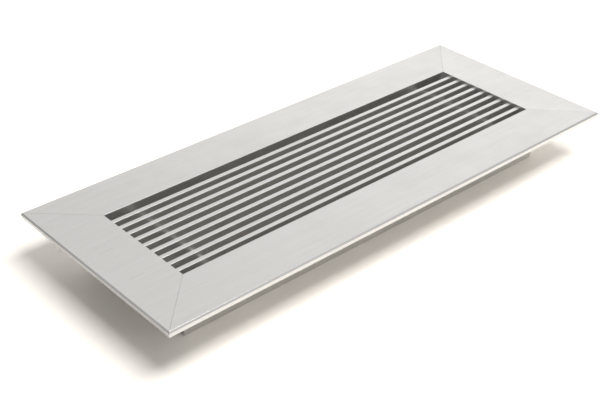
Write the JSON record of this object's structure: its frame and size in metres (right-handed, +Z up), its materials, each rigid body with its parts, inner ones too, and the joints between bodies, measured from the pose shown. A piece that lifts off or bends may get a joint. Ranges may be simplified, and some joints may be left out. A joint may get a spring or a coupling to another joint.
{
  "type": "floor return grille",
  "caption": "Rectangular aluminium floor return grille: a mitred frame with a wide face and a deep neck holds straight fixed bars half-lapped onto cross bars.",
  "frame": {"origin": "centre of the neck's lower rim, in the plane of that rim", "axes": "+X runs along the bars, +Y across them, +Z up through the face"},
  "size_m": [0.42, 0.17, 0.0435],
  "materials": {
    "frame": "satin, with fine brushing along each rail",
    "bars": "satin, extruded",
    "cross_bars": "mill finish",
    "keys": "die-cast, dull"
  },
  "bodies": {
    "root": {"front_rail": "frame", "back_rail": "frame", "left_rail": "frame", "right_rail": "frame", "neck_key_back_right": "keys", "neck_key_back_left": "keys", "neck_key_front_left": "keys", "neck_key_front_right": "keys", "face_key_back_right": "keys", "face_key_back_left": "keys", "face_key_front_left": "keys", "face_key_front_right": "keys", "cross_bar_left": "cross_bars", "cross_bar_right": "cross_bars", "bar_1": "bars", "bar_2": "bars", "bar_3": "bars", "bar_4": "bars", "bar_5": "bars", "bar_6": "bars", "bar_7": "bars", "bar_8": "bars", "bar_9": "bars"}
  },
  "joints": []
}
